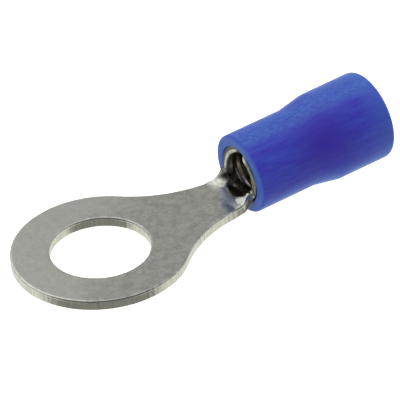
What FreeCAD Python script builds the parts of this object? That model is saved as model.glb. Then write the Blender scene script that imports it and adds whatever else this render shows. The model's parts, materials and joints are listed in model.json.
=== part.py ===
import FreeCAD, Part
import math
import os

import Sketcher
from FreeCAD import Placement, Rotation, Vector

# Insulated ring lug for an M6 stud and a 1.5 to 2.5 mm2 wire.
# The origin is the stud hole's centre on the underside of the tongue, +Z is up the stud,
# and +X runs along the tongue to the wire barrel.
doc = FreeCAD.newDocument("CableLug")

# Driving sizes in millimetres and degrees
drivingSizes = {
    "studHole": 6.4,             # clear hole for the stud
    "ringWidth": 11.4,           # outside of the ring
    "sheetThickness": 0.65,      # strip that the terminal is stamped from
    "neckWidth": 3.7,            # narrowest part of the neck
    "neckEnd": 9.5,              # hole centre to where the flat ends
    "mouthDistance": 10.5,       # hole centre to the mouth of the barrel
    "rootRadius": 0.3,           # inside corner between the neck and each wing
    "barrelBore": 2.5,           # bore for the stripped wire
    "barrelLength": 5.0,         # rolled length, mouth to wire entry
    "barrelDrop": 0.19,          # underside of the barrel below the underside of the tongue
    "barrelRise": 2.8,           # angle between the barrel's axis and the tongue
    "seamGap": 0.2,              # open butt seam along the top of the barrel
    "seamCorner": 0.4,           # rounded corners where the seam reaches either end
    "entryChamfer": 0.2,         # lead-in at the wire entry
    "serrationPitch": 1.05,      # between the grooves that grip the wire
    "serrationWidth": 0.4,
    "serrationDepth": 0.12,
    "serrationStart": 0.5,       # mouth to the first groove
    "sleeveWall": 0.76,          # moulded wall of the sleeve
    "sleeveClearance": 0.01,     # round the barrel, per side
    "sleeveSetBack": 0.07,       # front of the sleeve behind the mouth
    "sleeveLength": 10.22,
    "insulationBore": 4.5,       # bore for the wire with its insulation
    "stepStart": 4.45,           # front of the sleeve to the start of the outside step
    "stepLength": 1.83,          # length of the outside step
    "rearFlare": 0.02,           # how far the rear rim stands out, per side
    "leadInLength": 1.3,         # cone from the barrel's end to the insulation bore
    "frontRimRound": 0.22,       # outside edge at the front of the sleeve
    "rearRimRound": 0.32,        # outside edge at its rear
    "sleeveFrontRound": 0.1,     # inside edge at the front, which slides on over the barrel
    "sleeveRearRound": 0.15,     # inside edge at the wire entry
    "stepBlend": 1.5,            # radius that softens both ends of the step
}
serrationCount = 3
# Where the sections of the throat lie between the flat and the mouth, as shares of that stretch
throatShares = (0.4, 0.75, 0.92, 1.0)

# Sizes that follow from them
derivedSizes = {
    "barrelRadius": "=barrelBore / 2 + sheetThickness",
    "curlRadius": "=barrelBore / 2 + sheetThickness / 2",
    "axisHeight": "=barrelRadius - barrelDrop",
    "footDistance": "=mouthDistance + barrelRadius * sin(barrelRise * 1 deg)",
    "footHeight": "=axisHeight - barrelRadius * cos(barrelRise * 1 deg)",
    "sleeveBore": "=barrelRadius + sleeveClearance",
    "narrowRadius": "=sleeveBore + sleeveWall",
    "wideRadius": "=insulationBore / 2 + sleeveWall",
    "barrelSeat": "=barrelLength - sleeveSetBack",
}

sheet = doc.addObject("Spreadsheet::Sheet", "Sizes")
for row, (alias, value) in enumerate(list(drivingSizes.items()) + list(derivedSizes.items()), 1):
    sheet.set(f"A{row}", alias)
    sheet.set(f"B{row}", str(value))
    sheet.setAlias(f"B{row}", alias)
doc.recompute()


def size(alias):
    return float(sheet.get(alias))


def bind(item, links):
    for path, formula in links.items():
        item.setExpression(path, formula)


def newSketch(body, name, planeRole, offset=None, offsetLinks=None):
    sketch = body.newObject("Sketcher::SketchObject", name)
    plane = next(item for item in body.Origin.OriginFeatures if item.Role == planeRole)
    sketch.AttachmentSupport = (plane, [""])
    sketch.MapMode = "FlatFace"
    if offset:
        sketch.AttachmentOffset = offset
        bind(sketch, offsetLinks)
    return sketch


def addDimension(sketch, name, formula, kind, *where):
    index = sketch.addConstraint(Sketcher.Constraint(kind, *where))
    sketch.renameConstraint(index, name)
    sketch.setExpression(f"Constraints.{name}", formula)


def edgeNames(shape, wanted):
    return [f"Edge{number}" for number, edge in enumerate(shape.Edges, 1) if wanted(edge)]


def dress(body, kind, name, base, wanted, links):
    doc.recompute()
    names = edgeNames(base.Shape, wanted)
    if not names:
        raise ValueError(f"{name} finds no edge")
    feature = body.newObject(kind, name)
    feature.Base = (base, names)
    bind(feature, links)
    body.Tip = feature
    doc.recompute()
    return feature


# Terminal: the tongue, stamped flat
terminal = doc.addObject("PartDesign::Body", "Terminal")
terminal.Label = "terminal"


def drawTongue(sketch):
    ring = size("ringWidth") / 2
    neck = size("neckWidth") / 2
    neckEnd = size("neckEnd")
    neckRadius = (neckEnd**2 + neck**2 - ring**2) / (2 * (ring - neck))
    reach = ring + neckRadius
    meet = Vector(ring * neckEnd / reach, ring * (neck + neckRadius) / reach, 0)
    meetAngle = math.atan2(meet.y, meet.x)
    ringArc = Part.ArcOfCircle(Part.Circle(Vector(), Vector(0, 0, 1), ring), meetAngle, -meetAngle)
    farCircle = Part.Circle(Vector(neckEnd, neck + neckRadius, 0), Vector(0, 0, 1), neckRadius)
    nearCircle = Part.Circle(Vector(neckEnd, -neck - neckRadius, 0), Vector(0, 0, 1), neckRadius)
    farArc = Part.ArcOfCircle(farCircle, meetAngle - math.pi, -math.pi / 2)
    nearArc = Part.ArcOfCircle(nearCircle, math.pi / 2, math.pi - meetAngle)
    endLine = Part.LineSegment(Vector(neckEnd, -neck, 0), Vector(neckEnd, neck, 0))
    hole = Part.Circle(Vector(), Vector(0, 0, 1), size("studHole") / 2)
    sketch.addGeometry([ringArc, farArc, nearArc, endLine, hole], False)
    sketch.addConstraint([
        Sketcher.Constraint("Coincident", 0, 3, -1, 1),
        Sketcher.Constraint("Tangent", 0, 1, 1, 1),
        Sketcher.Constraint("Tangent", 0, 2, 2, 2),
        Sketcher.Constraint("Coincident", 1, 2, 3, 2),
        Sketcher.Constraint("Coincident", 2, 1, 3, 1),
        Sketcher.Constraint("Symmetric", 3, 1, 3, 2, -1),
        Sketcher.Constraint("Vertical", 1, 3, 1, 2),
        Sketcher.Constraint("Vertical", 2, 3, 2, 1),
        Sketcher.Constraint("Coincident", 4, 3, -1, 1),
    ])
    addDimension(sketch, "ring", "Sizes.ringWidth / 2", "Radius", 0, ring)
    addDimension(sketch, "hole", "Sizes.studHole / 2", "Radius", 4, size("studHole") / 2)
    addDimension(sketch, "neckEnd", "Sizes.neckEnd", "DistanceX", -1, 1, 3, 1, neckEnd)
    addDimension(sketch, "neckWidth", "Sizes.neckWidth", "DistanceY", 3, 1, 3, 2, 2 * neck)


tongueOutline = newSketch(terminal, "TongueOutline", "XY_Plane")
drawTongue(tongueOutline)
tongue = terminal.newObject("PartDesign::Pad", "Tongue")
tongue.Profile = tongueOutline
bind(tongue, {"Length": "Sizes.sheetThickness"})
doc.recompute()


# Terminal: the throat, where the sides of the neck fold up into the barrel
def footShare(share):
    # The underside steps down to the barrel in an even S
    return round(share**2 * (3 - 2 * share), 4)


def footOffset(share):
    along = size("neckEnd") + share * (size("footDistance") - size("neckEnd"))
    tilt = share * size("barrelRise")
    return Placement(Vector(0, footShare(share) * size("footHeight"), along), Rotation(Vector(-1, 0, 0), tilt))


def footLinks(share):
    return {
        "AttachmentOffset.Base.y": f"{footShare(share)} * Sizes.footHeight",
        "AttachmentOffset.Base.z": f"Sizes.neckEnd + {share} * (Sizes.footDistance - Sizes.neckEnd)",
        "AttachmentOffset.Rotation.Angle": f"{share} * Sizes.barrelRise * 1 deg",
    }


def drawCurl(sketch, radiusFormula, sweepFormula, radius, sweep):
    wall = size("sheetThickness")
    centre = Vector(0, radius, 0)
    low = -math.pi / 2 - sweep / 2
    high = -math.pi / 2 + sweep / 2
    outer = Part.ArcOfCircle(Part.Circle(centre, Vector(0, 0, 1), radius), low, high)
    inner = Part.ArcOfCircle(Part.Circle(centre, Vector(0, 0, 1), radius - wall), low, high)
    first = Part.LineSegment(outer.StartPoint, inner.StartPoint)
    second = Part.LineSegment(inner.EndPoint, outer.EndPoint)
    sketch.addGeometry([outer, inner, first, second], False)
    sketch.addConstraint([
        Sketcher.Constraint("PointOnObject", 0, 3, -2),
        Sketcher.Constraint("Coincident", 0, 3, 1, 3),
        Sketcher.Constraint("Horizontal", 0, 1, 0, 2),
        Sketcher.Constraint("Horizontal", 1, 1, 1, 2),
        Sketcher.Constraint("Coincident", 2, 1, 0, 1),
        Sketcher.Constraint("Coincident", 2, 2, 1, 1),
        Sketcher.Constraint("Coincident", 3, 1, 1, 2),
        Sketcher.Constraint("Coincident", 3, 2, 0, 2),
    ])
    addDimension(sketch, "centreHeight", radiusFormula, "DistanceY", -1, 1, 0, 3, radius)
    addDimension(sketch, "outerRadius", radiusFormula, "Radius", 0, radius)
    addDimension(sketch, "innerRadius", f"{radiusFormula} - Sizes.sheetThickness",
                 "Radius", 1, radius - wall)
    addDimension(sketch, "outerSweep", sweepFormula, "Angle", 0, sweep)
    addDimension(sketch, "innerSweep", sweepFormula, "Angle", 1, sweep)


def floorShare(share):
    # The flat floor takes nearly the whole neck where the fold starts and almost nothing at the mouth
    return round(0.95 - 0.9 * share, 3)


def foldWidths(share):
    # The neck keeps its width to the root, which then follows a quarter circle out to the mouth
    run = (1 - share) * (size("mouthDistance") - size("neckEnd"))
    root = size("rootRadius")
    halfWidth = size("neckWidth") / 2 + root - math.sqrt(root**2 - max(0, root - run) ** 2)
    runText = f"{1 - share:.3g} * (Sizes.mouthDistance - Sizes.neckEnd)"
    depthText = f"max(0; Sizes.rootRadius - {runText})"
    widthText = f"(Sizes.neckWidth / 2 + Sizes.rootRadius - sqrt(Sizes.rootRadius ^ 2 - {depthText} ^ 2))"
    return halfWidth, widthText


def joinFold(sketch):
    # Lines and arcs 0 and 1 are the floor's underside and top, 2 to 5 the sides, 6 and 7 the cut edges
    for first, firstEnd, second, secondEnd in ((1, 1, 3, 1), (1, 2, 5, 2), (6, 1, 2, 2), (6, 2, 3, 2),
                                               (7, 1, 5, 1), (7, 2, 4, 1)):
        sketch.addConstraint(Sketcher.Constraint("Coincident", first, firstEnd, second, secondEnd))


def foldArc(centre, radius, low, high):
    return Part.ArcOfCircle(Part.Circle(centre, Vector(0, 0, 1), radius), low, high)


def drawFold(sketch, share):
    # A flat floor, whose sides bend up on the barrel's radius
    halfWidth, widthText = foldWidths(share)
    wall, outer, down = size("sheetThickness"), size("barrelRadius"), -math.pi / 2
    floor = size("neckWidth") / 2 * floorShare(share)
    floorText = f"Sizes.neckWidth / 2 * {floorShare(share)}"
    sweep = (halfWidth - floor) / size("curlRadius")
    sweepText = f"({widthText} - {floorText}) / Sizes.curlRadius * 1 rad"
    right, left = Vector(floor, outer, 0), Vector(-floor, outer, 0)
    shapes = [Part.LineSegment(Vector(-floor, 0, 0), Vector(floor, 0, 0)),
              Part.LineSegment(Vector(floor, wall, 0), Vector(-floor, wall, 0)),
              foldArc(right, outer, down, down + sweep), foldArc(right, outer - wall, down, down + sweep),
              foldArc(left, outer, down - sweep, down), foldArc(left, outer - wall, down - sweep, down)]
    shapes += [Part.LineSegment(shapes[2].EndPoint, shapes[3].EndPoint),
               Part.LineSegment(shapes[5].StartPoint, shapes[4].StartPoint)]
    sketch.addGeometry(shapes, False)
    sketch.addConstraint([
        Sketcher.Constraint("PointOnObject", 0, 1, -1),
        Sketcher.Constraint("Symmetric", 0, 1, 0, 2, -2),
        Sketcher.Constraint("Tangent", 0, 2, 2, 1),
        Sketcher.Constraint("Tangent", 0, 1, 4, 2),
        Sketcher.Constraint("Coincident", 2, 3, 3, 3),
        Sketcher.Constraint("Coincident", 4, 3, 5, 3),
        Sketcher.Constraint("Vertical", 3, 1, 3, 3),
        Sketcher.Constraint("Vertical", 5, 2, 5, 3),
        Sketcher.Constraint("Equal", 2, 4),
        Sketcher.Constraint("Equal", 3, 5),
    ])
    joinFold(sketch)
    addDimension(sketch, "floor", f"2 * {floorText}", "DistanceX", 0, 1, 0, 2, 2 * floor)
    addDimension(sketch, "outerRadius", "Sizes.barrelRadius", "Radius", 2, outer)
    addDimension(sketch, "innerRadius", "Sizes.barrelBore / 2", "Radius", 3, outer - wall)
    for arc in (2, 3, 4, 5):
        addDimension(sketch, f"sweep{arc}", sweepText, "Angle", arc, sweep)


def drawMouth(sketch):
    # The same eight parts where they meet the barrel: the floor is now part of its circle
    halfWidth, widthText = foldWidths(1)
    wall, outer, down = size("sheetThickness"), size("barrelRadius"), -math.pi / 2
    bend = size("neckWidth") / 2 * floorShare(1) / size("curlRadius")
    bendText = f"Sizes.neckWidth / 2 * {floorShare(1)} / Sizes.curlRadius * 1 rad"
    sweep = halfWidth / size("curlRadius") - bend
    sweepText = f"{widthText} / Sizes.curlRadius * 1 rad - {bendText}"
    centre = Vector(0, outer, 0)
    spans = ((down - bend, down + bend), (down + bend, down + bend + sweep), (down - bend - sweep, down - bend))
    floorSpan, rightSpan, leftSpan = spans
    shapes = [foldArc(centre, outer, *floorSpan), foldArc(centre, outer - wall, *floorSpan),
              foldArc(centre, outer, *rightSpan), foldArc(centre, outer - wall, *rightSpan),
              foldArc(centre, outer, *leftSpan), foldArc(centre, outer - wall, *leftSpan)]
    shapes += [Part.LineSegment(shapes[2].EndPoint, shapes[3].EndPoint),
               Part.LineSegment(shapes[5].StartPoint, shapes[4].StartPoint)]
    sketch.addGeometry(shapes, False)
    sketch.addConstraint(Sketcher.Constraint("PointOnObject", 0, 3, -2))
    for arc in (1, 2, 3, 4, 5):
        sketch.addConstraint(Sketcher.Constraint("Coincident", 0, 3, arc, 3))
    sketch.addConstraint([
        Sketcher.Constraint("Coincident", 0, 2, 2, 1),
        Sketcher.Constraint("Coincident", 0, 1, 4, 2),
        Sketcher.Constraint("Coincident", 1, 2, 3, 1),
        Sketcher.Constraint("Coincident", 1, 1, 5, 2),
        Sketcher.Constraint("Horizontal", 0, 1, 0, 2),
        Sketcher.Constraint("Horizontal", 1, 1, 1, 2),
        Sketcher.Constraint("Coincident", 6, 1, 2, 2),
        Sketcher.Constraint("Coincident", 6, 2, 3, 2),
        Sketcher.Constraint("Coincident", 7, 1, 5, 1),
        Sketcher.Constraint("Coincident", 7, 2, 4, 1),
    ])
    addDimension(sketch, "centreHeight", "Sizes.barrelRadius", "DistanceY", -1, 1, 0, 3, outer)
    addDimension(sketch, "outerRadius", "Sizes.barrelRadius", "Radius", 0, outer)
    addDimension(sketch, "innerRadius", "Sizes.barrelBore / 2", "Radius", 1, outer - wall)
    for arc in (0, 1):
        addDimension(sketch, f"floor{arc}", f"2 * {bendText}", "Angle", arc, 2 * bend)
    for arc in (2, 3, 4, 5):
        addDimension(sketch, f"sweep{arc}", sweepText, "Angle", arc, sweep)


def drawNeckEnd(sketch):
    # Still flat, and divided like the sections that follow
    halfWidth, wall = size("neckWidth") / 2, size("sheetThickness")
    floor = halfWidth * floorShare(0)
    low = [Vector(x, 0, 0) for x in (-halfWidth, -floor, floor, halfWidth)]
    high = [Vector(x, wall, 0) for x in (halfWidth, floor, -floor, -halfWidth)]
    corners = low + high
    for start, end in zip(corners, corners[1:] + corners[:1]):
        sketch.addGeometry(Part.LineSegment(start, end), False)
    for line in range(8):
        sketch.addConstraint(Sketcher.Constraint("Coincident", line, 2, (line + 1) % 8, 1))
    for line in (2, 4, 6):
        sketch.addConstraint(Sketcher.Constraint("Horizontal", line))
    for line in (3, 7):
        sketch.addConstraint(Sketcher.Constraint("Vertical", line))
    sketch.addConstraint([
        Sketcher.Constraint("PointOnObject", 0, 1, -1),
        Sketcher.Constraint("Symmetric", 0, 1, 2, 2, -2),
        Sketcher.Constraint("Symmetric", 1, 1, 1, 2, -2),
        Sketcher.Constraint("Symmetric", 5, 1, 5, 2, -2),
    ])
    addDimension(sketch, "width", "Sizes.neckWidth", "DistanceX", 0, 1, 2, 2, 2 * halfWidth)
    addDimension(sketch, "thickness", "Sizes.sheetThickness", "DistanceY", 3, 1, 3, 2, wall)
    floorText = f"Sizes.neckWidth * {floorShare(0)}"
    addDimension(sketch, "floor", floorText, "DistanceX", 1, 1, 1, 2, 2 * floor)
    addDimension(sketch, "floorTop", floorText, "DistanceX", 5, 2, 5, 1, 2 * floor)


neckSection = newSketch(terminal, "NeckSection", "YZ_Plane", Placement(Vector(0, 0, size("neckEnd")),
                        Rotation()), {"AttachmentOffset.Base.z": "Sizes.neckEnd"})
drawNeckEnd(neckSection)
throatSections = []
for number, share in enumerate(throatShares, 1):
    section = newSketch(terminal, f"ThroatSection{number}", "YZ_Plane", footOffset(share),
                        footLinks(share))
    if share < 1:
        drawFold(section, share)
    else:
        drawMouth(section)
    throatSections.append(section)
doc.recompute()
throat = terminal.newObject("PartDesign::AdditiveLoft", "Throat")
throat.Profile = neckSection
throat.Sections = throatSections
throat.Ruled = False
throat.Refine = False
doc.recompute()

# Terminal: the rolled barrel, open along its top seam
barrelSection = newSketch(terminal, "BarrelSection", "YZ_Plane", footOffset(1), footLinks(1))
barrelSweep = 2 * math.pi - size("seamGap") / size("barrelRadius")
drawCurl(barrelSection, "Sizes.barrelRadius", "360 deg - Sizes.seamGap / Sizes.barrelRadius * 1 rad",
         size("barrelRadius"), barrelSweep)
barrel = terminal.newObject("PartDesign::Pad", "Barrel")
barrel.Profile = barrelSection
barrel.Refine = False
bind(barrel, {"Length": "Sizes.barrelLength"})
doc.recompute()

# Terminal: grooves across the bore, which bite into the wire when the barrel is crimped
axisOffset = Placement(Vector(size("mouthDistance"), size("axisHeight"), 0),
                       Rotation(Vector(0, 0, 1), size("barrelRise")))
axisLinks = {
    "AttachmentOffset.Base.x": "Sizes.mouthDistance",
    "AttachmentOffset.Base.y": "Sizes.axisHeight",
    "AttachmentOffset.Rotation.Angle": "Sizes.barrelRise * 1 deg",
}


def drawSerration(sketch):
    start = size("serrationStart")
    width = size("serrationWidth")
    bore = size("barrelBore") / 2
    depth = size("serrationDepth")
    corners = [Vector(start, bore, 0), Vector(start + width, bore, 0),
               Vector(start + width / 2, bore + depth, 0)]
    for first, last in zip(corners, corners[1:] + corners[:1]):
        sketch.addGeometry(Part.LineSegment(first, last), False)
    for line in range(3):
        sketch.addConstraint(Sketcher.Constraint("Coincident", line, 2, (line + 1) % 3, 1))
    sketch.addConstraint(Sketcher.Constraint("Horizontal", 0))
    sketch.addConstraint(Sketcher.Constraint("Equal", 1, 2))
    addDimension(sketch, "start", "Sizes.serrationStart", "DistanceX", -1, 1, 0, 1, start)
    addDimension(sketch, "bore", "Sizes.barrelBore / 2", "DistanceY", -1, 1, 0, 1, bore)
    addDimension(sketch, "width", "Sizes.serrationWidth", "DistanceX", 0, 1, 0, 2, width)
    addDimension(sketch, "depth", "Sizes.serrationDepth", "DistanceY", 0, 2, 1, 2, depth)


serrationProfile = newSketch(terminal, "SerrationProfile", "XZ_Plane", axisOffset, axisLinks)
drawSerration(serrationProfile)
serration = terminal.newObject("PartDesign::Groove", "Serration")
serration.Profile = serrationProfile
serration.ReferenceAxis = (serrationProfile, ["H_Axis"])
serration.Angle = 360
doc.recompute()
serrations = terminal.newObject("PartDesign::LinearPattern", "Serrations")
serrations.Originals = [serration]
serrations.Direction = (serrationProfile, ["H_Axis"])
serrations.Occurrences = serrationCount
bind(serrations, {"Length": f"Sizes.serrationPitch * {serrationCount - 1}"})
terminal.Tip = serrations


# Terminal: the lead-in at the wire entry
def drawWireEntry(sketch):
    length = size("barrelLength")
    bore = size("barrelBore") / 2
    lead = size("entryChamfer")
    corners = [Vector(length - lead, bore, 0), Vector(length, bore, 0), Vector(length, bore + lead, 0)]
    for first, last in zip(corners, corners[1:] + corners[:1]):
        sketch.addGeometry(Part.LineSegment(first, last), False)
    for line in range(3):
        sketch.addConstraint(Sketcher.Constraint("Coincident", line, 2, (line + 1) % 3, 1))
    sketch.addConstraint(Sketcher.Constraint("Horizontal", 0))
    sketch.addConstraint(Sketcher.Constraint("Vertical", 1))
    addDimension(sketch, "end", "Sizes.barrelLength", "DistanceX", -1, 1, 0, 2, length)
    addDimension(sketch, "bore", "Sizes.barrelBore / 2", "DistanceY", -1, 1, 0, 1, bore)
    addDimension(sketch, "width", "Sizes.entryChamfer", "DistanceX", 0, 1, 0, 2, lead)
    addDimension(sketch, "depth", "Sizes.entryChamfer", "DistanceY", 0, 2, 1, 2, lead)


wireEntryProfile = newSketch(terminal, "WireEntryProfile", "XZ_Plane", axisOffset, axisLinks)
drawWireEntry(wireEntryProfile)
wireEntry = terminal.newObject("PartDesign::Groove", "WireEntry")
wireEntry.Profile = wireEntryProfile
wireEntry.ReferenceAxis = (wireEntryProfile, ["H_Axis"])
wireEntry.Angle = 360
terminal.Tip = wireEntry

# Terminal: rounded seam corners
barrelAxis = Vector(math.cos(math.radians(size("barrelRise"))), 0,
                    math.sin(math.radians(size("barrelRise"))))
mouthCentre = Vector(size("mouthDistance"), 0, size("axisHeight"))
nearly = 0.001


def alongBarrel(point):
    return (point - mouthCentre).dot(barrelAxis)


def isSeamCorner(edge):
    middle = edge.CenterOfMass
    atEnd = min(abs(alongBarrel(middle)), abs(alongBarrel(middle) - size("barrelLength"))) < nearly
    overTop = middle.z > mouthCentre.z and abs(middle.y) < size("seamGap")
    longEnough = edge.Length > size("sheetThickness") - size("entryChamfer") - nearly
    return atEnd and overTop and longEnough and edge.Length < size("sheetThickness") + nearly


seamCorners = dress(terminal, "PartDesign::Fillet", "SeamCorners", wireEntry, isSeamCorner,
                    {"Radius": "Sizes.seamCorner"})

# Insulating sleeve: a moulded tube, narrow over the barrel and wider behind it
sleeve = doc.addObject("PartDesign::Body", "Sleeve")
sleeve.Label = "insulating_sleeve"


def drawSleeve(sketch):
    length = size("sleeveLength")
    stepStart = size("stepStart")
    stepEnd = stepStart + size("stepLength")
    seat = size("barrelSeat")
    boreStart = seat + size("leadInLength")
    narrow = size("narrowRadius")
    wide = size("wideRadius")
    bore = size("sleeveBore")
    wireBore = size("insulationBore") / 2
    corners = [Vector(0, bore, 0), Vector(0, narrow, 0), Vector(stepStart, narrow, 0),
               Vector(stepEnd, wide, 0), Vector(length, wide + size("rearFlare"), 0),
               Vector(length, wireBore, 0), Vector(boreStart, wireBore, 0), Vector(seat, bore, 0)]
    count = len(corners)
    for first, last in zip(corners, corners[1:] + corners[:1]):
        sketch.addGeometry(Part.LineSegment(first, last), False)
    for line in range(count):
        sketch.addConstraint(Sketcher.Constraint("Coincident", line, 2, (line + 1) % count, 1))
    for line in (0, 4):
        sketch.addConstraint(Sketcher.Constraint("Vertical", line))
    for line in (1, 5, 7):
        sketch.addConstraint(Sketcher.Constraint("Horizontal", line))
    sketch.addConstraint(Sketcher.Constraint("PointOnObject", 0, 1, -2))
    addDimension(sketch, "sleeveBore", "Sizes.sleeveBore", "DistanceY", -1, 1, 0, 1, bore)
    addDimension(sketch, "narrow", "Sizes.narrowRadius", "DistanceY", -1, 1, 1, 1, narrow)
    addDimension(sketch, "stepStart", "Sizes.stepStart", "DistanceX", -1, 1, 1, 2, stepStart)
    addDimension(sketch, "stepLength", "Sizes.stepLength", "DistanceX", 1, 2, 2, 2, stepEnd - stepStart)
    addDimension(sketch, "wide", "Sizes.wideRadius", "DistanceY", -1, 1, 2, 2, wide)
    addDimension(sketch, "flare", "Sizes.rearFlare", "DistanceY", 2, 2, 3, 2, size("rearFlare"))
    addDimension(sketch, "length", "Sizes.sleeveLength", "DistanceX", -1, 1, 3, 2, length)
    addDimension(sketch, "wireBore", "Sizes.insulationBore / 2", "DistanceY", -1, 1, 4, 2, wireBore)
    addDimension(sketch, "seat", "Sizes.barrelSeat", "DistanceX", -1, 1, 6, 2, seat)
    addDimension(sketch, "leadIn", "Sizes.leadInLength", "DistanceX", 6, 2, 5, 2, boreStart - seat)


sleeveProfile = newSketch(sleeve, "SleeveProfile", "XZ_Plane")
drawSleeve(sleeveProfile)
sleeveTube = sleeve.newObject("PartDesign::Revolution", "SleeveTube")
sleeveTube.Profile = sleeveProfile
sleeveTube.ReferenceAxis = (sleeveProfile, ["H_Axis"])
sleeveTube.Angle = 360
doc.recompute()


def circleAt(along, radius):
    def wanted(edge):
        if edge.Curve.TypeId != "Part::GeomCircle":
            return False
        return abs(edge.Curve.Center.x - along) < nearly and abs(edge.Curve.Radius - radius) < nearly
    return wanted


def anyCircle(*tests):
    return lambda edge: any(test(edge) for test in tests)


rearRadius = size("wideRadius") + size("rearFlare")
stepEnd = size("stepStart") + size("stepLength")
blendedStep = dress(sleeve, "PartDesign::Fillet", "StepBlend", sleeveTube,
                    anyCircle(circleAt(size("stepStart"), size("narrowRadius")),
                              circleAt(stepEnd, size("wideRadius"))),
                    {"Radius": "Sizes.stepBlend"})
frontRim = dress(sleeve, "PartDesign::Fillet", "FrontRim", blendedStep,
                 circleAt(0, size("narrowRadius")), {"Radius": "Sizes.frontRimRound"})
rearRim = dress(sleeve, "PartDesign::Fillet", "RearRim", frontRim,
                circleAt(size("sleeveLength"), rearRadius), {"Radius": "Sizes.rearRimRound"})
roundedFront = dress(sleeve, "PartDesign::Fillet", "FrontBore", rearRim,
                     circleAt(0, size("sleeveBore")), {"Radius": "Sizes.sleeveFrontRound"})
roundedRear = dress(sleeve, "PartDesign::Fillet", "RearBore", roundedFront,
                    circleAt(size("sleeveLength"), size("insulationBore") / 2),
                    {"Radius": "Sizes.sleeveRearRound"})

# The sleeve slides on along the barrel's tilted axis
sleeve.Placement = Placement(mouthCentre + barrelAxis * size("sleeveSetBack"),
                             Rotation(Vector(0, -1, 0), size("barrelRise")))
bind(sleeve, {
    "Placement.Base.x": "Sizes.mouthDistance + Sizes.sleeveSetBack * cos(Sizes.barrelRise * 1 deg)",
    "Placement.Base.z": "Sizes.axisHeight + Sizes.sleeveSetBack * sin(Sizes.barrelRise * 1 deg)",
    "Placement.Rotation.Angle": "Sizes.barrelRise * 1 deg",
})
doc.recompute()

# Check the document, then write each piece
for item in doc.Objects:
    if "Invalid" in item.State or "Error" in item.State:
        raise ValueError(f"{item.Name} failed: {item.State}")
os.makedirs("parts", exist_ok=True)
for body in (terminal, sleeve):
    shape = body.Shape
    if shape.isNull() or not shape.isValid() or len(shape.Solids) != 1:
        raise ValueError(f"{body.Label} is not one valid solid")
    box = shape.BoundBox
    print(f"{body.Label}: volume {shape.Volume:.2f} mm3, x {box.XMin:.2f} to {box.XMax:.2f}, "
          f"y {box.YMin:.2f} to {box.YMax:.2f}, z {box.ZMin:.2f} to {box.ZMax:.2f}")
    shape.exportStep(f"parts/{body.Label}.step")
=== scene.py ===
import json
import math

import bpy
from mathutils import Matrix, Vector, geometry, kdtree


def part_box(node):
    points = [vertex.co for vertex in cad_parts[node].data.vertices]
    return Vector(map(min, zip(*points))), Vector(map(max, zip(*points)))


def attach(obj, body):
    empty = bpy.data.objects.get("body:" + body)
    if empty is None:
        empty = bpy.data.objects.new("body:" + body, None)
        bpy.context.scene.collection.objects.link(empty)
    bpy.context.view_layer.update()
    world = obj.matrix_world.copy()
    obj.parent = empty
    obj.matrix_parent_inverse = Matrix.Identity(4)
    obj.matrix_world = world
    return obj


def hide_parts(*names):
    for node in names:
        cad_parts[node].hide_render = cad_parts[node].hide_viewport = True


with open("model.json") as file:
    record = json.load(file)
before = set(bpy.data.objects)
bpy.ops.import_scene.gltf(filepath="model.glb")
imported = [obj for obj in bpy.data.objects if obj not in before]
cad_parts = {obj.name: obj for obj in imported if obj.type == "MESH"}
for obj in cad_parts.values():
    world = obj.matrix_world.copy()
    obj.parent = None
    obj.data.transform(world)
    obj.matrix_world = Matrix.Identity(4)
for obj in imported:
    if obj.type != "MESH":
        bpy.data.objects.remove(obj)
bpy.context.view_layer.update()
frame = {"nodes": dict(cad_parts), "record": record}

mm = 0.001                                   # the dictionaries below are in millimetres and degrees
mounts = {mount["name"]: mount for mount in frame["record"]["mounts"]}
barrelAxis = Vector(mounts["wire_barrel"]["axis"])
barrelRise = math.asin(barrelAxis.z)
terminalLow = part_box("terminal")[0]
print("frame loaded:", sorted(frame["nodes"]))


# Camera, at the angle of the photograph
view = {
    "azimuth": -30.82,
    "elevation": 34.68,
    "roll": -4.1,
    "lookAt": (7.877, 0.0, 0.985),
    "offset": (0.31, 0.086),                 # how far that point lies right of and above the middle
    "distance": 193.5,
    "lens": 273.4,
    "sensor": 36.0,
    "clip": (10.0, 10000.0),
}


def addCamera():
    azimuth, elevation, roll = (math.radians(view[key]) for key in ("azimuth", "elevation", "roll"))
    back = Vector((math.sin(azimuth) * math.cos(elevation), -math.cos(azimuth) * math.cos(elevation),
                   math.sin(elevation)))
    level = Vector((math.cos(azimuth), math.sin(azimuth), 0))
    upright = back.cross(level)
    right = math.cos(roll) * level + math.sin(roll) * upright
    up = math.cos(roll) * upright - math.sin(roll) * level
    place = Vector(view["lookAt"]) + view["distance"] * back
    place -= view["offset"][0] * right + view["offset"][1] * up
    data = bpy.data.cameras.new("photoCamera")
    data.sensor_width = view["sensor"]
    data.lens = view["lens"]
    data.clip_start, data.clip_end = (distance * mm for distance in view["clip"])
    item = bpy.data.objects.new("photoCamera", data)
    bpy.context.scene.collection.objects.link(item)
    turn = Matrix((right, up, back)).transposed().to_4x4()
    item.matrix_world = Matrix.Translation(place * mm) @ turn
    bpy.context.scene.camera = item


addCamera()


# Node trees: small helpers shared by the shapes and the materials
def feed(tree, socket, value):
    if isinstance(value, bpy.types.NodeSocket):
        tree.links.new(value, socket)
    else:
        socket.default_value = value


def addNode(tree, kind, settings=None, **inputs):
    node = tree.nodes.new(kind)
    for name, value in (settings or {}).items():
        setattr(node, name, value)
    for name, value in inputs.items():
        feed(tree, node.inputs[name], value)
    return node


def calc(tree, operation, *values):
    node = tree.nodes.new("ShaderNodeMath")
    node.operation = operation
    for socket, value in zip(node.inputs, values):
        feed(tree, socket, value)
    return node.outputs[0]


def plus(tree, first, second):
    return calc(tree, "ADD", first, second)


def minus(tree, first, second):
    return calc(tree, "SUBTRACT", first, second)


def times(tree, first, second):
    return calc(tree, "MULTIPLY", first, second)


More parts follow.
